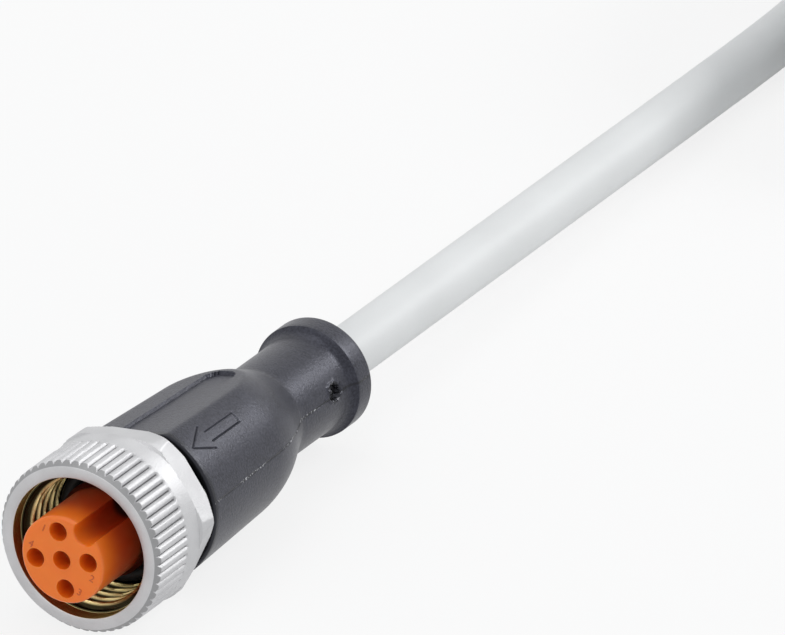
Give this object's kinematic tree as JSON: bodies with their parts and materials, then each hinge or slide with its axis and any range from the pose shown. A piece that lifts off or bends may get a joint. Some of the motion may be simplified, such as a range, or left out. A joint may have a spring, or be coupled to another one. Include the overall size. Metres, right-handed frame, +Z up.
{
  "type": "m12 connector",
  "caption": "Round cable socket with a turning threaded coupling nut, a keyed orange contact carrier, a moulded grip and a cable folded into a tied hank.",
  "frame": {"origin": "bottom centre of the plug's own box, on the surface that it lies on; the cable and its hank are left out of that box", "axes": "+Z up, +Y along the plug from its socket face towards the cable, +X to the side on which the hank lies"},
  "size_m": [0.0528, 0.1947, 0.0231],
  "materials": {
    "nut_metal": "matte",
    "carrier_plastic": "satin",
    "grip_plastic": "fine texture",
    "mould_plastic": "matte",
    "seal_rubber": "matte",
    "contact_gold": "plated",
    "cable_jacket": "satin",
    "tie_plastic": "satin",
    "copper": "stranded",
    "tin": "tinned",
    "wire_brown": "satin",
    "wire_white": "satin",
    "wire_blue": "satin",
    "wire_black": "satin",
    "wire_grey": "satin"
  },
  "bodies": {
    "plug": {"contact_carrier": "carrier_plastic", "sealing_ring": "seal_rubber", "inner_mould": "mould_plastic", "grip_body": "grip_plastic", "contact_1": "contact_gold", "contact_2": "contact_gold", "contact_3": "contact_gold", "contact_4": "contact_gold", "contact_5": "contact_gold", "wire_brown": "wire_brown", "wire_white": "wire_white", "wire_blue": "wire_blue", "wire_black": "wire_black", "wire_grey": "wire_grey", "core_brown": "copper", "core_white": "copper", "core_blue": "copper", "core_black": "copper", "core_grey": "copper", "cable_sheath_end": "cable_jacket", "cable_lead": "cable_jacket", "cable_hank": "cable_jacket", "cable_end": "cable_jacket", "cable_tie_left": "tie_plastic", "cable_tie_right": "tie_plastic", "tail_brown": "wire_brown", "tail_white": "wire_white", "tail_blue": "wire_blue", "tail_black": "wire_black", "tail_grey": "wire_grey", "tinned_tips": "tin"},
    "nut": {"coupling_nut": "nut_metal"}
  },
  "joints": [
    {"name": "nut_spin", "type": "hinge", "parent": "plug", "child": "nut", "pos_m": [0, -0.01845, 0.00779], "axis": [0, 0.9989, -0.0471], "continuous": true}
  ]
}
